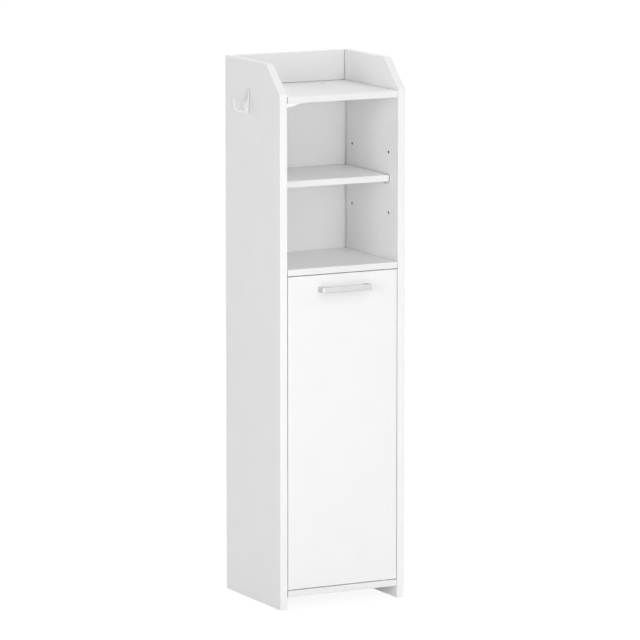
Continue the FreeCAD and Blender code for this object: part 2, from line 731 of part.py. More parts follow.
slot(catch, "XZ_Plane", magnet_corners("fit"), "0", "magnet_depth")
catch_holes = [(f"{step}{CATCH_SCREW_REACH}", "catch_depth / 2") for step in "-+"]
sunk_bores(catch, "XY_Plane", catch_holes, "-catch_flange", 1, "catch_flange")
place(catch, CATCH_X, CATCH_Y, FIXED_SHELF_HEIGHT)
magnet = new_body("catch_magnet")
prism(magnet, "XZ_Plane", magnet_corners("0"), "0", "magnet_depth")
place(magnet, CATCH_X, CATCH_Y, FIXED_SHELF_HEIGHT)
group("catch_screws", screw, [
    (f"side_board + {x}", y, f"{FIXED_SHELF_HEIGHT} - catch_flange", UPSIDE_DOWN)
    for x, y in catch_screws
])


def pivot_bush(label, z, rotation):
    """A bush that a pivot of the door turns in, flanged against its board."""
    body = new_body(label)
    bore = f"{PIVOT_TIP_DIAMETER} / 2 + fit"
    turned(body, [
        (bore, f"-{BUSH_FLANGE}"), (BUSH_RIM, f"-{BUSH_FLANGE}"), (BUSH_RIM, "0"),
        (f"{BUSH_DIAMETER} / 2", "0"), (f"{BUSH_DIAMETER} / 2", BUSH_LENGTH), (bore, BUSH_LENGTH),
    ])
    place(body, PIVOT_X, PIVOT_Y, z, rotation)


# Bushes in the fixed shelf and the base
pivot_bush("upper_pivot_bush", FIXED_SHELF_HEIGHT, UPRIGHT)
pivot_bush("lower_pivot_bush", BASE_TOP, UPSIDE_DOWN)

# Door panel
door = board("door_panel", "XZ_Plane", box_corners(DOOR_WIDTH, DOOR_HEIGHT), "door_board")
handle_hole_height = f"{DOOR_HEIGHT} - handle_drop"
handle_holes = [(f"{DOOR_WIDTH} / 2 {step} handle_centres / 2", handle_hole_height) for step in "-+"]
bores(door, "XZ_Plane", handle_holes, HANDLE_SCREW_HOLE, "0", "door_board")
pivot_hole = [(f"{DOOR_WIDTH} - pivot_inset", PIVOT_Y)]
pivot_depth = "pivot_shank + hole_end_room"
bores(door, "XY_Plane", pivot_hole, PIVOT_HOLE, "0", pivot_depth)
bores(door, "XY_Plane", pivot_hole, PIVOT_HOLE, f"{DOOR_HEIGHT} - ({pivot_depth})", pivot_depth)
strike_screw_reach = "(strike_width / 2 - strike_screw_inset)"
strike_screw_height = f"{DOOR_HEIGHT} - strike_drop - strike_height / 2"
strike_screws = [
    (f"{CATCH_X} - {DOOR_LEFT} {step} {strike_screw_reach}", strike_screw_height) for step in "-+"
]
strike_depth = f"screw_length - {STRIKE_THICKNESS} + hole_end_room"
bores(door, "XZ_Plane", strike_screws, SCREW_HOLE, f"door_board - ({strike_depth})", strike_depth)
place(door, DOOR_LEFT, "0", DOOR_BOTTOM)

# Door pivots: shanks in the door's edges, tips in the bushes; the lower one carries the door on its collar
upper_pin = new_body("upper_pivot_pin")
shank_radius = "pivot_shank_diameter / 2"
tip_radius = f"{PIVOT_TIP_DIAMETER} / 2"
turned(upper_pin, [
    ("0", "-pivot_shank"), (shank_radius, "-pivot_shank"), (shank_radius, "0"),
    (tip_radius, "0"), (tip_radius, PIVOT_TIP_END), ("0", PIVOT_TIP_END),
])
place(upper_pin, PIVOT_X, PIVOT_Y, DOOR_TOP)
lower_pin = new_body("lower_pivot_pin")
collar = f"(door_gap - {BUSH_FLANGE})"
turned(lower_pin, [
    ("0", "-pivot_shank"), (shank_radius, "-pivot_shank"), (shank_radius, "0"),
    (BUSH_RIM, "0"), (BUSH_RIM, collar), (tip_radius, collar),
    (tip_radius, PIVOT_TIP_END), ("0", PIVOT_TIP_END),
])
place(lower_pin, PIVOT_X, PIVOT_Y, DOOR_BOTTOM, UPSIDE_DOWN)

# Handle: a flat bar bent to a bow, with its screws from inside the door
handle = new_body("handle")
foot = "(handle_bar / 2)"
outer_end = f"(handle_centres / 2 + {foot})"
inner_end = f"(handle_centres / 2 - {foot})"
bar_back = "(handle_bar - handle_reach)"
bow = prism(handle, "XY_Plane", [
    (f"-{outer_end}", "0"), (f"-{outer_end}", "-handle_reach"),
    (outer_end, "-handle_reach"), (outer_end, "0"), (inner_end, "0"),
    (inner_end, bar_back), (f"-{inner_end}", bar_back), (f"-{inner_end}", "0"),
], "-handle_height / 2", "handle_height")


def inside_corner(middle, edge, whole):
    return edge.ZLength > TOUCH and whole.YMin + TOUCH < middle.y < whole.YMax - TOUCH


def front_corner(middle, edge, whole):
    return edge.ZLength > TOUCH and abs(middle.y - whole.YMin) < TOUCH


def rim_edge(middle, edge, whole):
    return edge.ZLength < TOUCH and edge.YMin < whole.YMax - TOUCH


bow = rounded(bow, "handle_inner_round", inside_corner)
bow = rounded(bow, "handle_outer_round", front_corner)
rounded(bow, "handle_edge_round", rim_edge)
foot_holes = [(f"{step}handle_centres / 2", "0") for step in "-+"]
foot_depth = "(handle_screw_in_foot + hole_end_room)"
bores(handle, "XZ_Plane", foot_holes, HANDLE_SCREW_HOLE, f"-{foot_depth}", foot_depth)
place(handle, "cabinet_width / 2", "0", HANDLE_Z)
handle_screw = new_body("handle_screw", handed_in=False)
screw_end = "-(door_board + handle_screw_in_foot)"
turned(handle_screw, [
    ("0", screw_end), ("handle_screw_diameter / 2", screw_end), ("handle_screw_diameter / 2", "0"),
    ("handle_screw_head / 2", "0"), ("handle_screw_head / 2", "handle_screw_head_height"),
    ("0", "handle_screw_head_height"),
])
cross_recess(
    handle_screw, "handle_screw_diameter", "screw_slot_width",
    "handle_screw_head_height - screw_slot_depth", "screw_slot_depth")
group("handle_screws", handle_screw, [
    (f"cabinet_width / 2 {step} handle_centres / 2", "door_board", HANDLE_Z, TO_REAR) for step in "-+"
])

# Strike plate on the door's inner face
strike = new_body("strike_plate")
prism(strike, "XZ_Plane", middle_corners("strike_width", "strike_height"), "0", STRIKE_THICKNESS)
strike_holes = [(f"{step}{strike_screw_reach}", "strike_height / 2") for step in "-+"]
sunk_bores(strike, "XZ_Plane", strike_holes, STRIKE_THICKNESS, -1, STRIKE_THICKNESS)
place(strike, CATCH_X, "door_board", STRIKE_BOTTOM)
group("strike_screws", screw, [
    (f"{DOOR_LEFT} + {x}", f"door_board + {STRIKE_THICKNESS}", f"{DOOR_BOTTOM} + {z}", TO_REAR)
    for x, z in strike_screws
])

# Checks on every feature and piece, then one file for each piece
doc.recompute()
for item in doc.Objects:
    if {"Invalid", "Error"} & set(item.State):
        raise RuntimeError(f"{item.Label} failed: {item.State}")
    cutting = item.TypeId in ("PartDesign::Pocket", "PartDesign::Hole")
    if cutting and item.Shape.Volume >= item.BaseFeature.Shape.Volume:
        raise RuntimeError(f"{item.Name} cuts nothing")
for piece in pieces:
    wanted = len(piece.Links) if piece.TypeId == "Part::Compound" else 1
    shape = piece.Shape
    if shape.isNull() or not shape.isValid() or len(shape.Solids) != wanted:
        raise RuntimeError(f"{piece.Label} is not {wanted} sound solids")
os.makedirs("parts", exist_ok=True)
for piece in pieces:
    piece.Shape.exportStep(f"parts/{piece.Label}.step")
    print(piece.Label, len(piece.Shape.Solids), round(piece.Shape.Volume))
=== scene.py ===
"""Looks of the narrow bathroom cabinet: finishes, the moulded towel hook, light, floor and camera.

Everything is in metres in the part's own frame: +Z up, the front faces -Y.
"""
import bpy
import math
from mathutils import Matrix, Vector


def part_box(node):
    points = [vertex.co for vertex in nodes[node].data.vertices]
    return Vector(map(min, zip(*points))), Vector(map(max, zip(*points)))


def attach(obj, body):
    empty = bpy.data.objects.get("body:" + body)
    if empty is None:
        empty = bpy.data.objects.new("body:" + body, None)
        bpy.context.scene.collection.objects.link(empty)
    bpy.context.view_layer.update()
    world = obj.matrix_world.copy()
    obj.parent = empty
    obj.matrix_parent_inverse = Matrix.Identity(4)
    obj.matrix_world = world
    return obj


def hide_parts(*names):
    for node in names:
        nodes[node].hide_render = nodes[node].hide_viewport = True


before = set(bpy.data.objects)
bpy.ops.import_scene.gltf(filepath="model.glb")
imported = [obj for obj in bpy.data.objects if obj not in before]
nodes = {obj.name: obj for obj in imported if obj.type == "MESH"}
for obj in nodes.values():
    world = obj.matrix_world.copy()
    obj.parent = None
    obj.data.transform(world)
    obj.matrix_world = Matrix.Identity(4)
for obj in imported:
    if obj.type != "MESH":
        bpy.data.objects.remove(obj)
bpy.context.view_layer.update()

MM = 0.001
X, Y, Z = range(3)

# Camera, fitted to corner points of the photo: where it stands, how far it turns right of +Y and
# looks down, in degrees, and its lens
CAMERA_PLACE = Vector((-4.15388, -8.08457, 1.96155))
CAMERA_TURN = 27.315
CAMERA_DIP = 9.035
CAMERA_SENSOR = 36.0
CAMERA_LENS = 281.1
CAMERA_REACH = 200.0

# Light: the even light of the room, the background that the camera sees, wide lamps far off, and a
# tall softbox in front. A level of 1 lights a surface that faces the lamp so that it shows its own colour.
ROOM_LIGHT = 0.12
BACKGROUND = 1.0
FAR_LAMPS = {
    # azimuth and elevation that it shines from, level, softness in degrees
    "left_lamp": (-60, 8, 0.2, 25),
    "left_side_lamp": (-75, 8, 0.045, 25),
    "rear_left_lamp": (-125, 15, 0.1, 16),
    "front_left_lamp": (-25, 5, 0.045, 40),
    "low_front_lamp": (0, 2, 0.12, 20),
    "front_lamp": (5, 8, 0.06, 40),
    "upper_lamp": (3, 43, 0.2, 42),
    "top_lamp": (150, 62, 0.31, 50),
    "right_front_lamp": (73, 24, 0.175, 45),
    "right_lamp": (95, 15, 0.145, 40),
    "rear_lamp": (-170, 12, 0.15, 40),
}
SOFTBOX_AZIMUTH = -20
SOFTBOX_LEVEL = 0.215
SOFTBOX_DISTANCE = 1.2
SOFTBOX_HEIGHT = 0.5
SOFTBOX_WIDTH = 0.8
SOFTBOX_LENGTH = 1.4

# Floor: the light of its own that the camera sees, how strongly it shows shade, and what it throws back
FLOOR_HALF = 40.0
FLOOR_DROP = 0.2 * MM
FLOOR_GLOW = 0.9
FLOOR_SHADE = 0.15
FLOOR_BOUNCE = 0.86

# Noise keeps to this range for the most part, so colours and roughness run from one end to the other in it
NOISE_LOW = 0.3
NOISE_HIGH = 0.7

# Boards: darkest and lightest tone of the white facings and edge strips. The rail's tones are painted shade,
# a darker copy of the board white, and the shelves' tones are painted light, a lighter copy.
BOARD_WHITES = (0.908, 0.922)
SHELF_WHITES_PAINTED_LIGHT = (0.945, 0.958)
RAIL_WHITES_PAINTED_SHADE = (0.838, 0.852)
HARDBOARD_WHITES = (0.935, 0.95)
SIDE_STRIP_WHITES = (0.918, 0.932)
SHELF_STRIP_WHITES = (0.872, 0.886)

# Boards: the facing's pores, the strip along an edge and the fine joint beside it
PORE_GRAIN = 0.9 * MM
PORE_DEPTH = 0.02 * MM
PORE_TONE = 0.7
PORE_SHARE = 0.02
EDGE_STRIP = 1.0 * MM
STRIP_GLOSS = 0.06
EDGE_JOINT = 0.06 * MM
JOINT_TONE = 0.45
JOINT_SHARE = 0.25

# Boards: how deep the facing goes, how far the film at a board's end reaches round its corner, and what lies
# bare. At the rear the film shows open chips. At butted ends it is near-black painted shade, and so are the
# chips in bores and grooves.
FACING_SKIN = 0.4 * MM
END_FILM = 0.65 * MM
CHIP_GRAIN = 1.6 * MM
# Near-black chips: painted shade in bores, grooves and the films at butted joints
PAINTED_SHADE_CHIPS = ((0.015, 0.011, 0.008), (0.045, 0.035, 0.025))
OPEN_CHIPS = ((0.40, 0.31, 0.21), (0.60, 0.50, 0.37))
FIBRES = ((0.06, 0.04, 0.025), (0.12, 0.08, 0.05))
SCREEN_PITCH = 1.5 * MM
SCREEN_FACING = 0.5

# Sides of a board's box, as an axis and a sign
ENDS = ((X, 1), (X, -1))
REAR = (Y, 1)
FOOT = (Z, -1)

# Corner points of a mesh that are no farther than this from a plane are taken to lie in it
SAME_PLANE = 0.06 * MM

# Towel hook's plate: sizes, and the powers that make its section squarer at the top than at the foot.
# Shares of its height: where it starts to grow thinner, and over how much. Share of its thickness: the
# undercut behind. Shares of its width: the seat on the cabinet's side, and the recess's radius.
HOOK_TOP_THICKNESS = 4.0 * MM
HOOK_FOOT_THICKNESS = 10.5 * MM
HOOK_TOP_POWER = 4.2
HOOK_FOOT_POWER = 2.3
HOOK_THINS_FROM = 0.15
HOOK_THINS_OVER = 0.6
HOOK_UNDERCUT_SHARE = 0.4
HOOK_SEAT_SHARE = 0.68
HOOK_RECESS_SHARE = 0.25
HOOK_RECESS_MARGIN = 1.0 * MM

# Towel hook's arm: sizes, the power of its section, and what is left of its sizes at the tip
HOOK_ARM_WIDTH = 10.5 * MM
HOOK_ARM_THICKNESS = 4.0 * MM
HOOK_ARM_HEIGHT = 5.5 * MM
HOOK_ARM_RISE = 1.5 * MM
HOOK_ARM_POWER = 4
HOOK_BEND = 14.0 * MM
HOOK_TIP_DROP = 15.0 * MM
HOOK_TIP_THICKNESS_SHARE = 0.25
HOOK_TIP_WIDTH_SHARE = 0.8

# Towel hook's mesh: rows along the plate and the arm, steps round them, and the even skin over both.
# The plate's rows stop a little short of its ends, where a row would shrink to a point.
PLATE_ROWS = 40
PLATE_STEPS = 24
PLATE_TRIM = 0.02
ARM_ROWS = 8
BEND_ROWS = 16
RISE_ROWS = 12
ARM_STEPS = 24
RECESS_STEPS = 40
SKIN_VOXEL = 0.45 * MM
SKIN_EASE = 0.5
SKIN_EASE_ROUNDS = 5


def grey(level):
    return (level, level, level)


def greys(levels):
    return [grey(level) for level in levels]


def opaque(colour):
    return (*colour, 1)


def feed(tree, socket, source):
    """Links a socket to another node's output, or sets it to a value."""
    if isinstance(source, bpy.types.NodeSocket):
        tree.links.new(source, socket)
    else:
        socket.default_value = source


def new_node(tree, kind, sockets=(), **settings):
    """A new node with its settings, its sockets set to values or linked to other nodes."""
    node = tree.nodes.new(kind)
    for name, setting in settings.items():
        setattr(node, name, setting)
    for socket, source in dict(sockets).items():
        feed(tree, node.inputs[socket], source)
    return node


class Finish:
    """A procedural finish: a Principled shader, and short calls that add the nodes which feed it."""

    def __init__(self, name, constants=()):
        self.material = bpy.data.materials.new(name)
        self.material.use_nodes = True
        self.tree = self.material.node_tree
        self.shader = self.tree.nodes["Principled BSDF"]
        self.place = self.add("ShaderNodeTexCoord").outputs["Object"]
        for socket, constant in dict(constants).items():
            self.shader.inputs[socket].default_value = constant

    def add(self, kind, sockets=(), **settings):
        return new_node(self.tree, kind, sockets, **settings)

    def math(self, operation, *sources):
        return self.add("ShaderNodeMath", enumerate(sources), operation=operation).outputs[0]

    def vector_math(self, operation, *sources):
        return self.add("ShaderNodeVectorMath", enumerate(sources), operation=operation).outputs

    def split(self, vector):
        """The X, Y and Z of a vector."""
        return self.add("ShaderNodeSeparateXYZ", {0: vector}).outputs[:]

    def noise(self, grain, stretch=(1, 1, 1), detail=2.0):
        """Noise with grains of that size in metres, drawn out along each axis by the stretch."""
        scale = [1 / (grain * share) for share in stretch]
        spot = self.add("ShaderNodeMapping", {"Vector": self.place, "Scale": scale})
        noise = self.add("ShaderNodeTexNoise", {"Vector": spot.outputs[0], "Scale": 1.0, "Detail": detail})
        return noise.outputs[0]

    def between(self, factor, low, high):
        """A value that runs from low to high as the noise rises."""
        span = self.add("ShaderNodeMapRange", {
            "Value": factor, "From Min": NOISE_LOW, "From Max": NOISE_HIGH, "To Min": low, "To Max": high})
        return span.outputs[0]

    def shades(self, factor, dark, light):
        """A colour that runs from dark to light as the noise rises."""
        ramp = self.add("ShaderNodeValToRGB", {"Fac": factor})
        stops = ramp.color_ramp.elements
        for stop, place, colour in zip(stops, (NOISE_LOW, NOISE_HIGH), (dark, light)):
            stop.position = place
            stop.color = opaque(colour)
        return ramp.outputs[0]

    def layer(self, factor, under, over):
        """One colour laid over another where the factor is 1."""
        mix = self.add("ShaderNodeMix", data_type="RGBA")
        feed(self.tree, mix.inputs["Factor"], factor)
        colours = [socket for socket in mix.inputs if socket.type == "RGBA"]
        feed(self.tree, colours[0], under)
        feed(self.tree, colours[1], over)
        return next(socket for socket in mix.outputs if socket.type == "RGBA")

    def relief(self, height, depth):
        """Fine relief of that depth in metres on the whole surface."""
        bump = self.add("ShaderNodeBump", {"Height": height, "Distance": depth, "Strength": 1.0})
        feed(self.tree, self.shader.inputs["Normal"], bump.outputs[0])

    def coat(self, colour, roughness):
        """Sets the colour and the roughness of the whole surface."""
        feed(self.tree, self.shader.inputs["Base Color"], colour)
        feed(self.tree, self.shader.inputs["Roughness"], roughness)

    def from_centre(self, low, high):
        """How far a point lies from a box's centre along X, Y and Z, with its sign and without."""
        shift = self.vector_math("SUBTRACT", self.place, (low + high) / 2)["Vector"]
        size = self.vector_math("ABSOLUTE", shift)["Vector"]
        return self.split(shift), self.split(size)

    def chips(self, tones):
        """The bare core of a board: pressed wood chips, in the given tones; the near-black ones are painted
        shade.
        """
        return self.shades(self.noise(CHIP_GRAIN, detail=4.0), *tones)


def behind_slant(finish, name):
    """How far a point of a side lies behind the slanted cut of its upper front corner."""
    spots = [vertex.co for vertex in nodes[name].data.vertices]
    front = min(spot.y for spot in spots)
    top = max(spot.z for spot in spots)
    foot = max(spot.z for spot in spots if spot.y < front + SAME_PLANE)
    head = min(spot.y for spot in spots if spot.z > top - SAME_PLANE)
    inward = Vector((0, top - foot, front - head)).normalized()
    shift = finish.vector_math("SUBTRACT", finish.place, (0, front, foot))["Vector"]
    return finish.vector_math("DOT_PRODUCT", shift, inward)["Value"]


def from_rim(finish, name, thin, slanted):
    """How far a point lies in from the nearest edge of a board."""
    low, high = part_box(name)
    half = (high - low) / 2
    offset = finish.from_centre(low, high)[1]
    rims = [finish.math("SUBTRACT", half[axis], offset[axis]) for axis in (X, Y, Z) if axis != thin]
    rim = finish.math("MINIMUM", *rims)
    if slanted:
        rim = finish.math("MINIMUM", rim, behind_slant(finish, name))
    return rim


def in_core(finish, name, slanted):
    """A factor of 1 under the facing of a board, which shows in its bores and grooves, where the board's
    finish lays painted shade.

    The slanted edge of a side lies inside its box too. So the core of a side ends at the top shelf:
    the only bore above that is shut by the rail.
    """
    low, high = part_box(name)
    if slanted:
        high.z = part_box("top_shelf")[1].z
    half = (high - low) / 2 - Vector((FACING_SKIN,) * 3)
    offset = finish.from_centre(low, high)[1]
    inside = [finish.math("LESS_THAN", offset[axis], half[axis]) for axis in (X, Y, Z)]
    return finish.math("MULTIPLY", finish.math("MULTIPLY", inside[X], inside[Y]), inside[Z])


def board_finish(name, thin, bare_and_painted_shade_edges=(), strip_whites=BOARD_WHITES, whites=BOARD_WHITES, slanted=False):
    """White-faced board: faint mottle and pores, edge strips, and chips in bores, grooves and butted joints,
    darkened to near black as painted shade.

    thin is the axis of the board's thickness; bare_and_painted_shade_edges are the sides, as an axis and a
    sign, that have no strip: the rear ones, in open light, show open chips, and the others, shut in joints,
    get a film of painted shade; strip_whites and whites are the tones of the strips and of the facing;
    slanted is for a side, with its upper corner cut off.
    """
    finish = Finish(f"look_{name}", {"Specular IOR Level": 0.45})
    mottle = finish.noise(grain=60 * MM, detail=3.0)
    pores = finish.noise(PORE_GRAIN)
    white = finish.shades(mottle, *greys(whites))
    white = finish.layer(finish.between(pores, 0.0, PORE_SHARE), white, opaque(grey(PORE_TONE)))
    roughness = finish.between(finish.noise(grain=25 * MM, detail=3.0), low=0.40, high=0.50)

    rim = from_rim(finish, name, thin, slanted)
    strip = finish.math("LESS_THAN", rim, EDGE_STRIP)
    joint = finish.math("COMPARE", rim, EDGE_STRIP, EDGE_JOINT)
    white = finish.layer(strip, white, finish.shades(mottle, *greys(strip_whites)))
    white = finish.layer(finish.math("MULTIPLY", joint, JOINT_SHARE), white, opaque(grey(JOINT_TONE)))
    roughness = finish.math("SUBTRACT", roughness, finish.math("MULTIPLY", strip, STRIP_GLOSS))

    low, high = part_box(name)
    half = (high - low) / 2
    shift = finish.from_centre(low, high)[0]
    # The core under the facing is painted in near-black chips: painted shade in bores and grooves.
    bare = in_core(finish, name, slanted)
    chips = finish.chips(PAINTED_SHADE_CHIPS)
    # Along butted ends and the foot, a film of the same near-black chips is painted shade: a dark line where
    # the joint's shade falls. The rear film shows open chips.
    for axis, sign in bare_and_painted_shade_edges:
        outward = finish.math("MULTIPLY", shift[axis], sign)
        film = finish.math("GREATER_THAN", outward, half[axis] - END_FILM)
        bare = finish.math("MAXIMUM", bare, film)
        if (axis, sign) == REAR:
            chips = finish.layer(film, chips, finish.chips(OPEN_CHIPS))
    finish.coat(finish.layer(bare, white, chips), finish.math("MAXIMUM", roughness, bare))
    finish.relief(pores, PORE_DEPTH)
    return finish.material


def hardboard_finish(name):
    """Thin fibre board: smooth white paint in front, a pressed screen pattern behind, bare brown edges."""
    low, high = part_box(name)
    finish = Finish(f"look_{name}", {"Specular IOR Level": 0.4})
    roller = finish.noise(grain=1.4 * MM, detail=3.0)
    white = finish.shades(finish.noise(grain=80 * MM, detail=3.0), *greys(HARDBOARD_WHITES))
    fibre = finish.shades(finish.noise(grain=0.8 * MM, detail=4.0), *FIBRES)
    offset = finish.from_centre(low, high)[1]
    edge = finish.math("GREATER_THAN", offset[X], (high.x - low.x) / 2 - END_FILM)
    finish.coat(finish.layer(edge, white, fibre), finish.between(roller, low=0.46, high=0.58))

    place = finish.split(finish.place)
    turns = [finish.math("MULTIPLY", place[axis], 2 * math.pi / SCREEN_PITCH) for axis in (X, Z)]
    weave = finish.math("MULTIPLY", *[finish.math("SINE", turn) for turn in turns])
    normal = finish.split(finish.add("ShaderNodeTexCoord").outputs["Normal"])
    faces_rear = finish.math("GREATER_THAN", normal[Y], SCREEN_FACING)
    screen = finish.math("MULTIPLY", weave, faces_rear)
    finish.relief(finish.math("ADD", screen, roller), depth=0.03 * MM)
    return finish.material


def brushed_finish():
    """Satin metal with a fine brushed grain along X."""
    finish = Finish("look_brushed_metal", {"Metallic": 1.0, "Anisotropic": 0.35})
    cloud = finish.noise(grain=12 * MM)
    grain = finish.noise(grain=0.25 * MM, stretch=(60, 1, 1), detail=3.0)
    colour = finish.shades(cloud, dark=(0.575, 0.577, 0.58), light=(0.615, 0.615, 0.615))
    finish.coat(colour, finish.between(grain, low=0.34, high=0.46))
    finish.relief(grain, depth=0.004 * MM)
    return finish.material


def enamel_finish():
    """White powder coat with a slight orange peel."""
    finish = Finish("look_white_enamel", {"Coat Weight": 0.2, "Coat Roughness": 0.3})
    cloud = finish.noise(grain=9 * MM)
    peel = finish.noise(grain=1.1 * MM)
    colour = finish.shades(cloud, dark=grey(0.80), light=grey(0.825))
    finish.coat(colour, finish.between(peel, low=0.34, high=0.44))
    finish.relief(peel, depth=0.02 * MM)
    return finish.material


def plastic_finish(name, dark, light, roughness, grain, uneven=0.1):
    """Moulded plastic with a fine spark-eroded grain."""
    finish = Finish(name)
    cloud = finish.noise(grain=8 * MM)
    spark = finish.noise(grain, detail=3.0)
    finish.coat(finish.shades(cloud, dark, light), finish.between(spark, roughness, roughness + uneven))
    finish.relief(spark, depth=0.015 * MM)
    return finish.material


def metal_finish(name, dark, light, roughness, grain, depth, uneven=0.15):
    """Plated or cast metal: clouded colour, uneven gloss and fine relief."""
    finish = Finish(name, {"Metallic": 1.0})
    cloud = finish.noise(grain=3 * MM, detail=3.0)
    pits = finish.noise(grain, detail=4.0)
    finish.coat(finish.shades(cloud, dark, light), finish.between(pits, roughness, roughness + uneven))
    finish.relief(pits, depth)
    return finish.material


def magnet_finish():
    """Sintered magnet: dark and granular."""
    finish = Finish("look_magnet")
    grains = finish.noise(grain=0.5 * MM, detail=5.0)
    colour = finish.shades(grains, dark=grey(0.018), light=grey(0.05))
    finish.coat(colour, finish.between(grains, low=0.4, high=0.65))
    finish.relief(grains, depth=0.02 * MM)
    return finish.material


def beech_finish():
    """Turned beech with its grain along X."""
    finish = Finish("look_beech")
    grain = finish.noise(grain=0.8 * MM, stretch=(14, 1, 1), detail=4.0)
    colour = finish.shades(grain, dark=(0.42, 0.27, 0.14), light=(0.62, 0.44, 0.26))
    finish.coat(colour, finish.between(grain, low=0.55, high=0.7))
    finish.relief(grain, depth=0.05 * MM)
    return finish.material


def plain_looks():
    """The finishes of all that isn't a board, by the names of the frame's own materials."""
    return {
        "satin_metal": brushed_finish(),
        "white_metal": enamel_finish(),
        "white_plastic": plastic_finish(
            "look_white_plastic", dark=grey(0.94), light=grey(0.96), roughness=0.30, grain=0.35 * MM),
        "nylon": plastic_finish(
            "look_nylon", dark=(0.74, 0.73, 0.68), light=(0.80, 0.79, 0.75), roughness=0.40, grain=0.5 * MM),
        "magnet": magnet_finish(),
        "cam_alloy": metal_finish(
            "look_cast_zinc", dark=grey(0.36), light=grey(0.48),
            roughness=0.42, grain=0.8 * MM, depth=0.03 * MM),
        "zinc_steel": metal_finish(
            "look_zinc_plate", dark=(0.50, 0.51, 0.53), light=(0.66, 0.65, 0.62),
            roughness=0.25, grain=0.4 * MM, depth=0.006 * MM),
        "beech_dowel": beech_finish(),
    }


def board_looks():
    """The finishes of the boards, by the names of their nodes."""
    looks = {
        "door_panel": board_finish("door_panel", Y),
        # The rail's darker white is painted shade.
        "gallery_rail": board_finish("gallery_rail", Y, (FOOT,), whites=RAIL_WHITES_PAINTED_SHADE),
        "back_panel": hardboard_finish("back_panel"),
    }
    for name in ("left_side_panel", "right_side_panel"):
        looks[name] = board_finish(name, X, strip_whites=SIDE_STRIP_WHITES, slanted=True)
    for name in ("top_shelf", "middle_shelf", "fixed_shelf", "inner_shelf", "base_panel"):
        # The shelves' lighter white is painted light, and the films at their butted ends are painted shade.
        looks[name] = board_finish(name, Z, (*ENDS, REAR), SHELF_STRIP_WHITES, SHELF_WHITES_PAINTED_LIGHT)
    return looks


def dress_nodes(plain, boards):
    """Gives every node of the frame its finish."""
    for name, node in nodes.items():
        slot = node.material_slots[0]
        look = boards.get(name) or plain[slot.material.name]
        slot.link = "OBJECT"
        slot.material = look


def clamp(share):
    return min(max(share, 0.0), 1.0)


def smooth_step(share):
    """Rises from 0 to 1 with a soft start and a soft end."""
    return share * share * (3 - 2 * share)


def quarter_round(share):
    """Rises from 0 to 1 along a quarter of a circle."""
    return math.sqrt(1 - (1 - share) ** 2)


def squared(wave, power):
    """A sine or cosine bent so that a circle turns squarer; a power of 2 leaves it as it is."""
    return math.copysign(abs(wave) ** (2 / power), wave)


def full_turn(steps):
    """Angles in even steps once round."""
    return [2 * math.pi * step / steps for step in range(steps)]


def loft(rings):
    """Points and faces of a closed skin over rings of equal count, capped at both ends."""
    count = len(rings[0])
    faces = []
    for row in range(len(rings) - 1):
        near = row * count
        far = near + count
        for step in range(count):
            ahead = (step + 1) % count
            faces.append((near + step, near + ahead, far + ahead, far + step))
    last = (len(rings) - 1) * count
    faces.append(tuple(reversed(range(count))))
    faces.append(tuple(range(last, last + count)))
    return [point for ring in rings for point in ring], faces


def new_piece(name, points, faces):
    mesh = bpy.data.meshes.new(name)
    mesh.from_pydata(points, [], faces)
    piece = bpy.data.objects.new(name, mesh)
    bpy.context.scene.collection.objects.link(piece)
    return piece


def settle(piece):
    """Makes the result of a piece's modifiers its own mesh."""
    result = piece.evaluated_get(bpy.context.evaluated_depsgraph_get())
    shape = bpy.data.meshes.new_from_object(result)
    piece.modifiers.clear()
    piece.data = shape


def combine(piece, operation, other):
    """Cuts the other piece out of a piece or joins it on, and takes the other piece away."""
    change = piece.modifiers.new("combine", "BOOLEAN")
    change.operation = operation
    change.object = other
    settle(piece)
    bpy.data.objects.remove(other)


def hook_plate(low, high, middle):
    """The plate: domed in front, rounded away behind, thicker towards its foot, with round ends."""
    half_width = (high.y - low.y) / 2
    rings = []
    for row in range(PLATE_ROWS + 1):
        turn = math.pi * (PLATE_TRIM + (1 - 2 * PLATE_TRIM) * row / PLATE_ROWS)
        share = (1 - math.cos(turn)) / 2
        z = low.z + share * (high.z - low.z)
        reach = clamp(min(z - low.z, high.z - z) / half_width)
        width = half_width * quarter_round(reach)
        swell = 1 - smooth_step(clamp((share - HOOK_THINS_FROM) / HOOK_THINS_OVER))
        power = HOOK_TOP_POWER + swell * (HOOK_FOOT_POWER - HOOK_TOP_POWER)
        thickness = HOOK_TOP_THICKNESS + swell * (HOOK_FOOT_THICKNESS - HOOK_TOP_THICKNESS)
        thickness *= 1 - (1 - reach) ** HOOK_TOP_POWER
        lift = thickness * HOOK_UNDERCUT_SHARE
        ring = [(high.x, middle + side * width * HOOK_SEAT_SHARE, z) for side in (-1, 1)]
        for step in range(PLATE_STEPS + 1):
            angle = math.pi * step / PLATE_STEPS
            across = width * squared(math.cos(angle), power)
            out = lift + (thickness - lift) * squared(math.sin(angle), power)
            ring.append((high.x - out, middle + across, z))
        rings.append(ring)
    return loft(rings)


def hook_arm_path(low, high):
    """The middle line of the arm from the plate's foot to the tip, as flat points: X first, then Z."""
    half = HOOK_ARM_THICKNESS / 2
    root = Vector((high.x - half, low.z + HOOK_ARM_HEIGHT))
    bend = Vector((low.x + half + HOOK_BEND, root.y + HOOK_ARM_RISE))
    path = [root.lerp(bend, row / ARM_ROWS) for row in range(ARM_ROWS)]
    for row in range(BEND_ROWS + 1):
        turn = math.pi / 2 * row / BEND_ROWS
        path.append(bend + HOOK_BEND * Vector((-math.sin(turn), 1 - math.cos(turn))))
    upright = path[-1]
    tip = Vector((upright.x, high.z - HOOK_TIP_DROP))
    path += [upright.lerp(tip, row / RISE_ROWS) for row in range(1, RISE_ROWS + 1)]
    return path


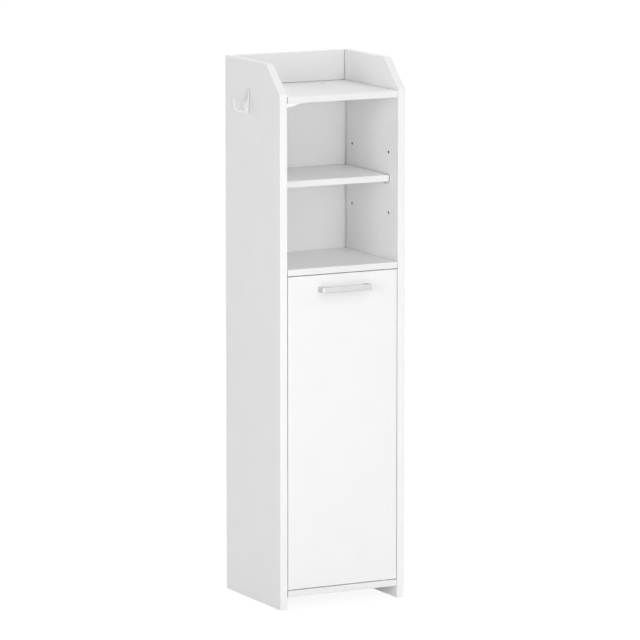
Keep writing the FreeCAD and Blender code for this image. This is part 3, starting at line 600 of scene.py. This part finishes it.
def hook_arm(low, high, middle):
    """The arm: out of the plate's foot, round a bend and up, with a rounded tip."""
    half = HOOK_ARM_THICKNESS / 2
    path = hook_arm_path(low, high)
    rings = []
    for row, spot in enumerate(path):
        before = path[max(row - 1, 0)]
        after = path[min(row + 1, len(path) - 1)]
        along = (after - before).normalized()
        side = Vector((-along.y, along.x))
        taper = max(quarter_round(clamp((path[-1].y - spot.y) / half)), HOOK_TIP_THICKNESS_SHARE)
        half_width = HOOK_ARM_WIDTH / 2 * (HOOK_TIP_WIDTH_SHARE + (1 - HOOK_TIP_WIDTH_SHARE) * taper)
        ring = []
        for angle in full_turn(ARM_STEPS):
            across = half_width * squared(math.cos(angle), HOOK_ARM_POWER)
            place = spot + side * half * taper * squared(math.sin(angle), HOOK_ARM_POWER)
            ring.append((place.x, middle + across, place.y))
        rings.append(ring)
    return loft(rings)


def hook_recess(low, high, middle):
    """The oval pocket in the plate's upper part that holds the screws, down to the faces of their heads."""
    screw_low, screw_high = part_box("hook_screws")
    centre = (screw_low.z + screw_high.z) / 2
    radius = HOOK_RECESS_SHARE * (high.y - low.y)
    straight = (screw_high.z - screw_low.z) / 2 + HOOK_RECESS_MARGIN - radius
    rings = []
    for x in (low.x, screw_low.x):
        ring = []
        for angle in full_turn(RECESS_STEPS):
            rise = radius * math.sin(angle) + math.copysign(straight, math.sin(angle))
            ring.append((x, middle + radius * math.cos(angle), centre + rise))
        rings.append(ring)
    return loft(rings)


def add_hook(look):
    """The moulded towel hook, in the place of its plain solid."""
    low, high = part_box("towel_hook")
    middle = (low.y + high.y) / 2
    hook = new_piece("moulded_hook", *hook_plate(low, high, middle))
    combine(hook, "DIFFERENCE", new_piece("hook_recess", *hook_recess(low, high, middle)))
    combine(hook, "UNION", new_piece("hook_arm", *hook_arm(low, high, middle)))
    skin = hook.modifiers.new("skin", "REMESH")
    skin.mode = "VOXEL"
    skin.voxel_size = SKIN_VOXEL
    skin.use_smooth_shade = True
    ease = hook.modifiers.new("ease", "SMOOTH")
    ease.factor = SKIN_EASE
    ease.iterations = SKIN_EASE_ROUNDS
    settle(hook)
    hook.data.materials.clear()
    hook.data.materials.append(look)
    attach(hook, "cabinet")
    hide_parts("towel_hook")


def direction(azimuth, elevation):
    """The way to a place seen at that azimuth, 0 in front and 90 at the right, and elevation, in degrees."""
    turn = math.radians(azimuth)
    rise = math.radians(elevation)
    return Vector((math.sin(turn) * math.cos(rise), -math.cos(turn) * math.cos(rise), math.sin(rise)))


def put(name, data, place, back):
    """Adds a camera or a lamp at a place, looking away from the direction at its back."""
    thing = bpy.data.objects.new(name, data)
    thing.location = place
    thing.rotation_mode = "QUATERNION"
    thing.rotation_quaternion = back.to_track_quat("Z", "Y")
    bpy.context.scene.collection.objects.link(thing)
    return thing


def add_camera():
    lens = bpy.data.cameras.new("camera")
    lens.sensor_width = CAMERA_SENSOR
    lens.lens = CAMERA_LENS
    lens.clip_end = CAMERA_REACH
    bpy.context.scene.camera = put("camera", lens, CAMERA_PLACE, direction(-CAMERA_TURN, CAMERA_DIP))


def seen_directly(tree):
    """A factor of 1 for what the camera sees, also in a reflection or through glass."""
    path = new_node(tree, "ShaderNodeLightPath")
    seen = path.outputs["Is Camera Ray"]
    for ray in ("Is Glossy Ray", "Is Transmission Ray"):
        either = new_node(tree, "ShaderNodeMath", {0: seen, 1: path.outputs[ray]}, operation="MAXIMUM")
        seen = either.outputs[0]
    return seen


def add_room_light():
    """Even light from all round, with a white background for the camera."""
    world = bpy.data.worlds.new("room")
    bpy.context.scene.world = world
    world.use_nodes = True
    tree = world.node_tree
    tree.nodes.clear()
    mix = new_node(tree, "ShaderNodeMixShader", {0: seen_directly(tree)})
    for socket, strength in ((1, ROOM_LIGHT), (2, BACKGROUND)):
        light = new_node(tree, "ShaderNodeBackground", {"Color": opaque(grey(1)), "Strength": strength})
        feed(tree, mix.inputs[socket], light.outputs[0])
    new_node(tree, "ShaderNodeOutputWorld", {"Surface": mix.outputs[0]})


def add_far_lamps():
    """Lamps whose light is the same everywhere, so that their place doesn't count."""
    for name, (azimuth, elevation, level, softness) in FAR_LAMPS.items():
        lamp = bpy.data.lights.new(name, "SUN")
        lamp.energy = math.pi * level
        lamp.angle = math.radians(softness)
        back = direction(azimuth, elevation)
        put(name, lamp, place=back, back=back)


def add_softbox():
    """A tall softbox, with the power that gives its level at its distance."""
    lamp = bpy.data.lights.new("softbox", "AREA")
    lamp.shape = "RECTANGLE"
    lamp.size = SOFTBOX_WIDTH
    lamp.size_y = SOFTBOX_LENGTH
    lamp.energy = SOFTBOX_LEVEL * math.pi ** 2 * SOFTBOX_DISTANCE ** 2
    back = direction(SOFTBOX_AZIMUTH, 0)
    put("softbox", lamp, SOFTBOX_DISTANCE * back + Vector((0, 0, SOFTBOX_HEIGHT)), back)


def floor_look():
    """White with a faint shadow to the camera, and plain pale to all other light."""
    material = bpy.data.materials.new("floor")
    material.use_nodes = True
    tree = material.node_tree
    tree.nodes.clear()
    bounce = new_node(tree, "ShaderNodeBsdfDiffuse", {"Color": opaque(grey(FLOOR_BOUNCE))})
    shade = new_node(tree, "ShaderNodeBsdfDiffuse", {"Color": opaque(grey(FLOOR_SHADE))})
    glow = new_node(tree, "ShaderNodeEmission", {"Strength": FLOOR_GLOW})
    shown = new_node(tree, "ShaderNodeAddShader", {0: glow.outputs[0], 1: shade.outputs[0]})
    mix = new_node(tree, "ShaderNodeMixShader", {
        0: seen_directly(tree), 1: bounce.outputs[0], 2: shown.outputs[0]})
    new_node(tree, "ShaderNodeOutputMaterial", {"Surface": mix.outputs[0]})
    return material


def add_floor():
    """A plain white floor that keeps a soft shadow of the object."""
    sides = ((-1, -1), (1, -1), (1, 1), (-1, 1))
    corners = [(x * FLOOR_HALF, y * FLOOR_HALF, -FLOOR_DROP) for x, y in sides]
    floor = new_piece("floor", corners, [(0, 1, 2, 3)])
    floor.data.materials.append(floor_look())


looks = plain_looks()
dress_nodes(looks, board_looks())
add_hook(looks["white_metal"])
add_camera()
add_room_light()
add_far_lamps()
add_softbox()
add_floor()
bpy.context.scene.view_settings.view_transform = "Standard"
